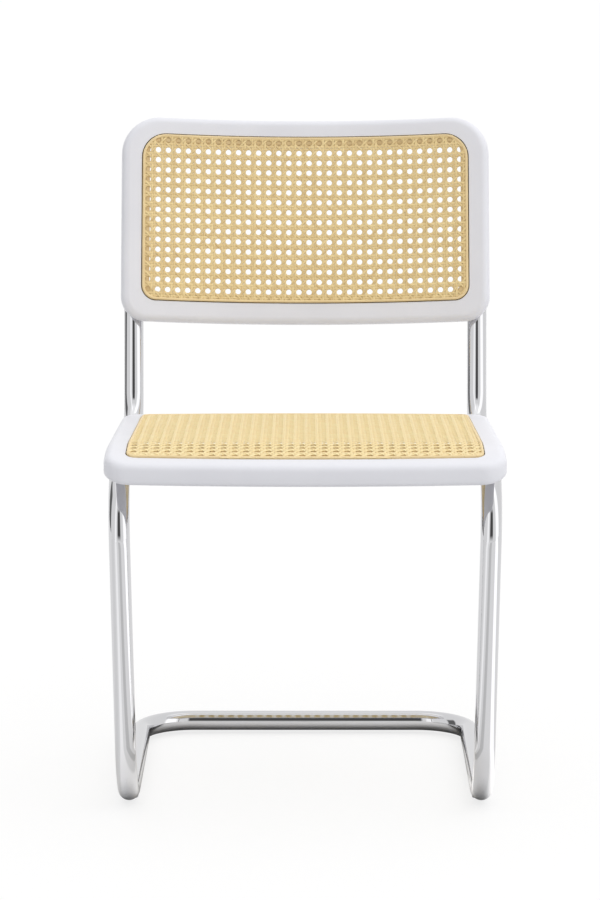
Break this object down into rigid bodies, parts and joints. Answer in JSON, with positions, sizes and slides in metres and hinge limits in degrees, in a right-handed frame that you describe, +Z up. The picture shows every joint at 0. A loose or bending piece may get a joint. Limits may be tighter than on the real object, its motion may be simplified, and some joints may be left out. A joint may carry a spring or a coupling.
{
  "type": "dining chair",
  "caption": "Cantilever dining chair of bent chromed tube, with white wooden seat and hollowed, reclined back frames that each hold woven cane under a reed spline.",
  "frame": {"origin": "on the floor, below the middle of the chair's overall box", "axes": "+Z up; the sitter faces -Y; +X is to the right as seen from the front, which is the sense of left and right in the node names"},
  "size_m": [0.4712, 0.5988, 0.788],
  "materials": {
    "chromed_tube": "bright chrome plating on bent steel tube",
    "painted_wood": "white satin lacquer over beech, no visible grain",
    "woven_cane": "natural rattan cane, woven in an open octagonal pattern",
    "reed": "natural rattan reed, glued into its groove",
    "dowel_wood": "bare beech",
    "zinc_steel": "bright zinc on steel",
    "brass_thread": "plain brass",
    "dark_plastic": "moulded black plastic",
    "glide_plastic": "moulded pale grey plastic"
  },
  "bodies": {
    "root": {"tube_frame": "chromed_tube", "left_tube_plug": "dark_plastic", "right_tube_plug": "dark_plastic", "seat_front_rail": "painted_wood", "seat_rear_rail": "painted_wood", "seat_left_rail": "painted_wood", "seat_right_rail": "painted_wood", "seat_dowels": "dowel_wood", "seat_cane": "woven_cane", "seat_spline": "reed", "back_top_rail": "painted_wood", "back_foot_rail": "painted_wood", "back_left_stile": "painted_wood", "back_right_stile": "painted_wood", "back_dowels": "dowel_wood", "back_cane": "woven_cane", "back_spline": "reed", "seat_screws": "zinc_steel", "seat_washers": "zinc_steel", "seat_inserts": "brass_thread", "back_screws": "zinc_steel", "back_washers": "zinc_steel", "back_inserts": "brass_thread", "front_left_glide": "glide_plastic", "front_right_glide": "glide_plastic", "rear_left_glide": "glide_plastic", "rear_right_glide": "glide_plastic"}
  },
  "joints": []
}
